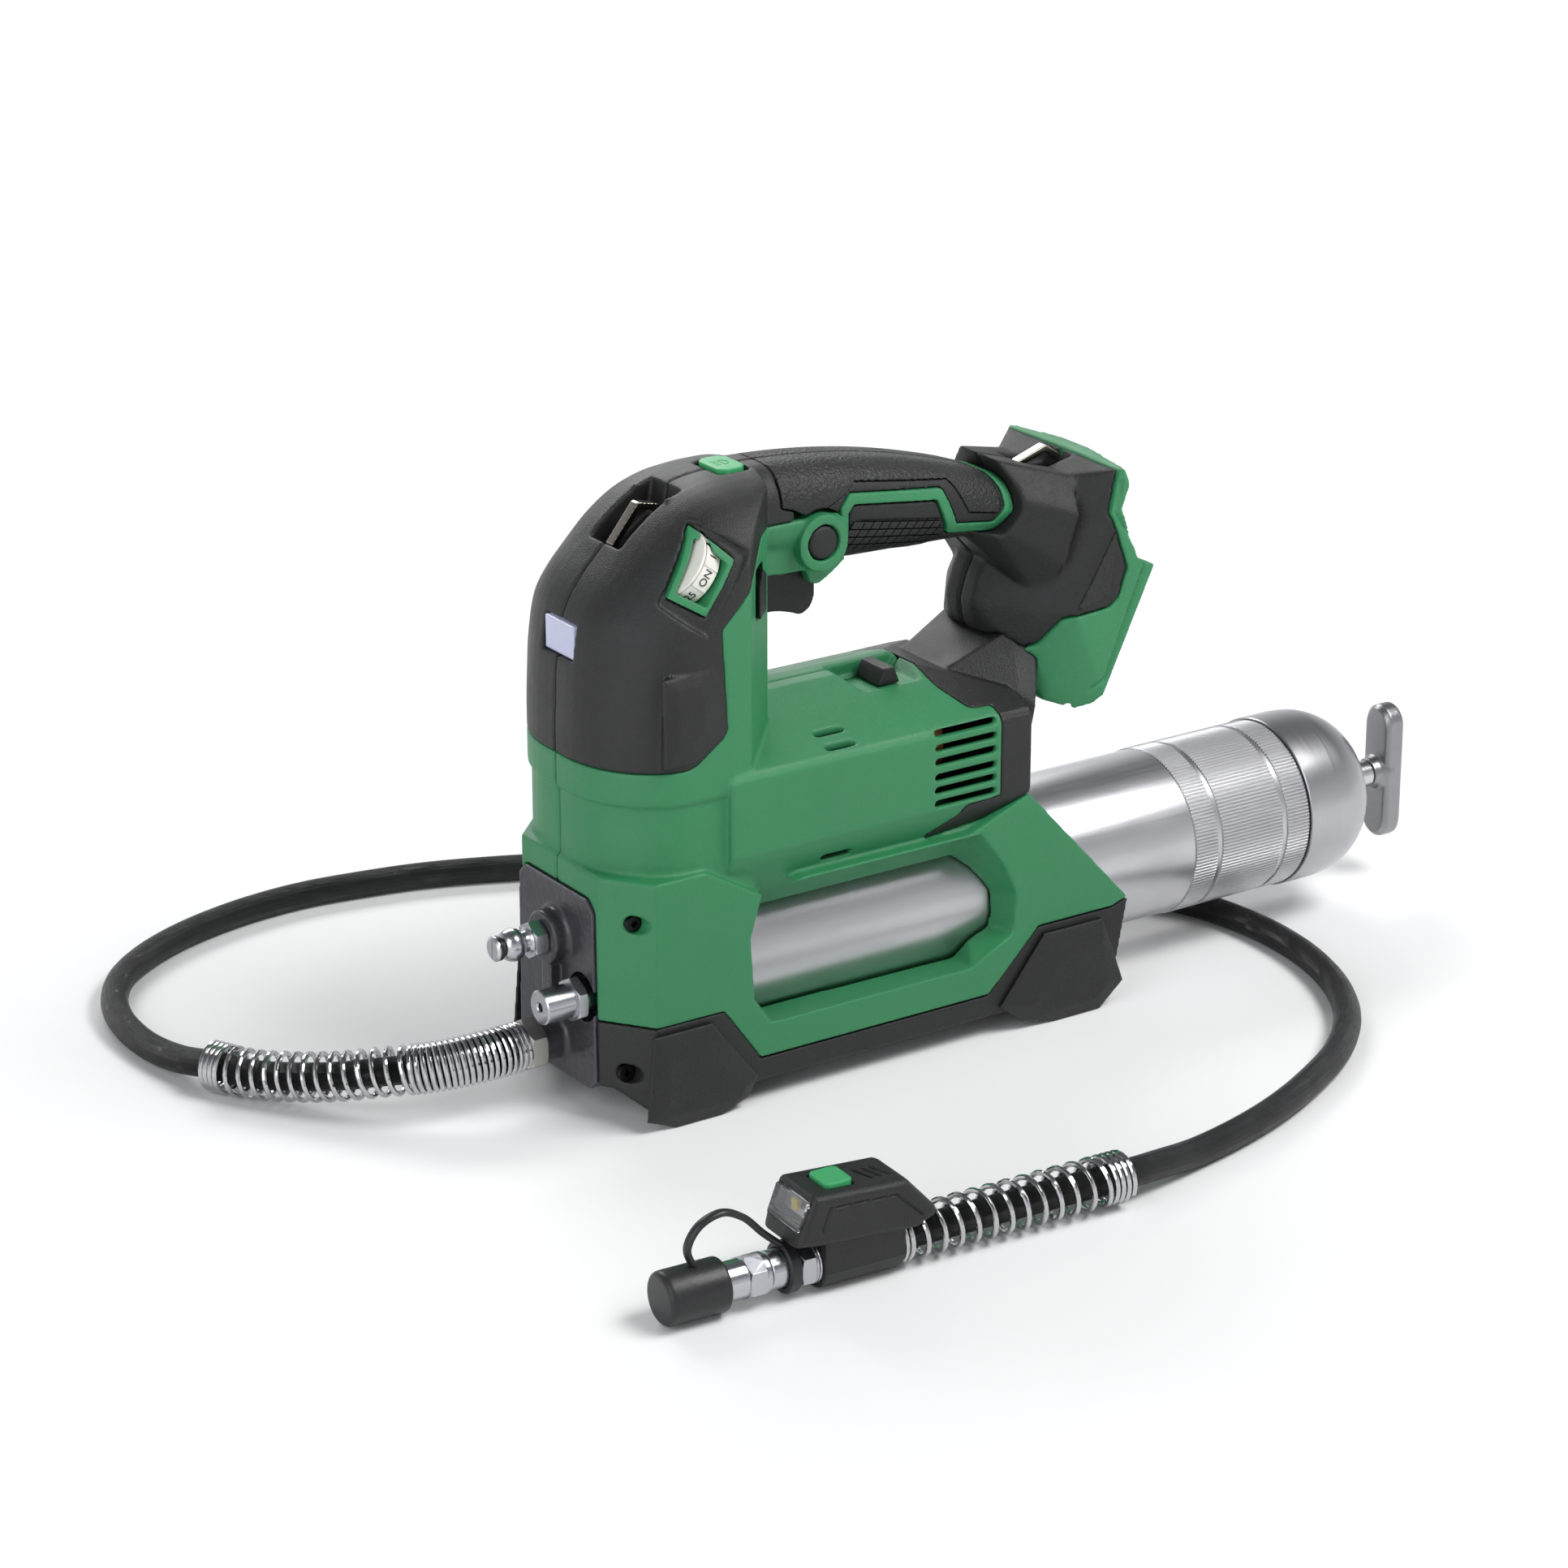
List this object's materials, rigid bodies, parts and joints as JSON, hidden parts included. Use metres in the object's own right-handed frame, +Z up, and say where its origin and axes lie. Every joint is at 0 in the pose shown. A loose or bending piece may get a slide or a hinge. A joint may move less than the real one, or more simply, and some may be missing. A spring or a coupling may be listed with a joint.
{
  "type": "grease gun",
  "caption": "Battery-powered grease gun body with loop handle, clamped barrel, rubber feet and a flexible hose that ends in a lit coupler.",
  "frame": {"origin": "on the ground under the middle of the tool's own length and width, the hose left out", "axes": "+X from the pump head along the barrel to the pull handle, +Y to the tool's right side, +Z up"},
  "size_m": [0.4449, 0.3587, 0.199],
  "materials": {
    "green_housing": "fine moulded grain, satin",
    "black_housing": "fine moulded grain, matt",
    "grip_rubber": "soft overmould, textured",
    "black_rubber": "matt rubber",
    "turned_steel": "ground",
    "zinc_plated": "bright zinc plate",
    "cast_head": "painted casting, semi-gloss",
    "barrel_steel": "drawn tube, brushed round",
    "cap_steel": "spun, brushed round",
    "copper_windings": "lacquered wire",
    "white_dial": "moulded",
    "lamp_lens": "clear moulded",
    "plated_wire": "bright plated wire",
    "circuit_board": "potted",
    "hose_rubber": "braided high-pressure hose, semi-gloss"
  },
  "bodies": {
    "tool": {"housing_left": "green_housing", "housing_right": "green_housing", "hood_left": "black_housing", "hood_right": "black_housing", "grip_left": "grip_rubber", "grip_right": "grip_rubber", "grip_trim_left": "green_housing", "grip_trim_right": "green_housing", "battery_mount_left": "black_housing", "battery_mount_right": "black_housing", "battery_skirt": "green_housing", "rear_cover": "black_housing", "base_tray": "black_housing", "foot_front_left": "black_rubber", "foot_rear_left": "black_rubber", "foot_front_right": "black_rubber", "foot_rear_right": "black_rubber", "pump_head": "cast_head", "fill_nipple": "zinc_plated", "relief_valve": "zinc_plated", "hose_fitting": "zinc_plated", "motor_stator": "copper_windings", "ring_gear": "turned_steel", "trigger_switch": "black_housing", "dial_bezel": "green_housing", "front_lamp": "lamp_lens", "strap_ring_front": "plated_wire", "strap_ring_rear": "plated_wire", "controller_board": "circuit_board", "terminal_block": "black_housing", "grease_hose": "hose_rubber", "spring_guard_front": "plated_wire", "spring_guard_rear": "plated_wire", "light_body": "black_housing", "light_lens": "lamp_lens", "coupler_body": "zinc_plated", "coupler_cap": "black_rubber"},
    "bleeder": {"bleeder_screw": "zinc_plated"},
    "plunger": {"pump_plunger": "turned_steel"},
    "barrel": {"barrel_tube": "barrel_steel"},
    "cap": {"barrel_cap": "cap_steel", "follower_spring": "turned_steel"},
    "follower": {"follower_rod": "turned_steel", "follower_piston": "black_rubber", "t_handle": "zinc_plated"},
    "rotor": {"motor_rotor": "turned_steel", "cooling_fan": "black_housing"},
    "carrier": {"planet_carrier": "turned_steel", "crank_disc": "turned_steel"},
    "planet_a": {"planet_gear_1": "turned_steel"},
    "planet_b": {"planet_gear_2": "turned_steel"},
    "planet_c": {"planet_gear_3": "turned_steel"},
    "trigger": {"trigger": "black_housing"},
    "lock_off": {"lock_off_button": "black_housing"},
    "lock_bar": {"trigger_lock_bar": "black_housing"},
    "dial": {"volume_dial": "white_dial"},
    "lamp_switch": {"lamp_button": "green_housing"},
    "selector": {"speed_selector": "black_housing"},
    "light_switch": {"light_button": "green_housing"},
    "collar": {"coupler_collar": "zinc_plated"}
  },
  "joints": [
    {"name": "bleeder_turn", "type": "hinge", "parent": "tool", "child": "bleeder", "pos_m": [-0.18295, 0, 0.056], "axis": [1, 0, 0], "range_deg": [0, 360]},
    {"name": "plunger_stroke", "type": "slide", "parent": "tool", "child": "plunger", "axis": [0, 0, -1], "range_m": [0, 0.0088]},
    {"name": "barrel_unscrew", "type": "hinge", "parent": "tool", "child": "barrel", "pos_m": [-0.00395, 0, 0.0392], "axis": [1, 0, 0], "range_deg": [0, 360]},
    {"name": "cap_unscrew", "type": "hinge", "parent": "barrel", "child": "cap", "pos_m": [0.13605, 0, 0.0392], "axis": [1, 0, 0], "range_deg": [0, 360]},
    {"name": "rod_pull", "type": "slide", "parent": "cap", "child": "follower", "axis": [1, 0, 0], "range_m": [0, 0.185], "stiffness_N_per_m": 120, "springref_m": -0.05, "deforming": ["follower_spring"]},
    {"name": "motor_spin", "type": "hinge", "parent": "tool", "child": "rotor", "pos_m": [-0.03395, 0, 0.0972], "axis": [1, 0, 0], "continuous": true},
    {"name": "carrier_spin", "type": "hinge", "parent": "tool", "child": "carrier", "pos_m": [-0.10395, 0, 0.0972], "axis": [1, 0, 0], "continuous": true},
    {"name": "planet_a_spin", "type": "hinge", "parent": "carrier", "child": "planet_a", "pos_m": [-0.09545, 0, 0.1092], "axis": [1, 0, 0], "continuous": true},
    {"name": "planet_b_spin", "type": "hinge", "parent": "carrier", "child": "planet_b", "pos_m": [-0.09545, -0.01039, 0.0912], "axis": [1, 0, 0], "continuous": true},
    {"name": "planet_c_spin", "type": "hinge", "parent": "carrier", "child": "planet_c", "pos_m": [-0.09545, 0.01039, 0.0912], "axis": [1, 0, 0], "continuous": true},
    {"name": "trigger_pull", "type": "hinge", "parent": "tool", "child": "trigger", "pos_m": [-0.08845, 0, 0.1642], "axis": [0, -1, 0], "range_deg": [0, 8], "stiffness_Nm_per_rad": 0.6, "springref_deg": -5.73},
    {"name": "lock_off_push", "type": "slide", "parent": "tool", "child": "lock_off", "axis": [0, 1, 0], "range_m": [-0.002, 0.002]},
    {"name": "lock_bar_push", "type": "slide", "parent": "tool", "child": "lock_bar", "axis": [0, 1, 0], "range_m": [-0.0025, 0.0025]},
    {"name": "dial_turn", "type": "hinge", "parent": "tool", "child": "dial", "pos_m": [-0.12635, -0.0216, 0.1763], "axis": [0.7915, 0, -0.6112], "range_deg": [0, 300]},
    {"name": "lamp_press", "type": "slide", "parent": "tool", "child": "lamp_switch", "axis": [0, 0, -1], "range_m": [0, 0.0015], "stiffness_N_per_m": 500, "springref_m": -0.001},
    {"name": "selector_slide", "type": "slide", "parent": "tool", "child": "selector", "axis": [1, 0, 0], "range_m": [-0.006, 0]},
    {"name": "light_press", "type": "slide", "parent": "tool", "child": "light_switch", "axis": [0, 0, -1], "range_m": [0, 0.001], "stiffness_N_per_m": 500, "springref_m": -0.001},
    {"name": "collar_turn", "type": "hinge", "parent": "tool", "child": "collar", "pos_m": [-0.2009, -0.15305, 0.0089], "axis": [0.9984, -0.0558, 0], "range_deg": [0, 360]}
  ],
  "couplings": [
    {"joint": "carrier_spin", "follows": "motor_spin", "ratio": 0.25},
    {"joint": "planet_a_spin", "follows": "motor_spin", "ratio": -0.75},
    {"joint": "planet_b_spin", "follows": "motor_spin", "ratio": -0.75},
    {"joint": "planet_c_spin", "follows": "motor_spin", "ratio": -0.75}
  ]
}
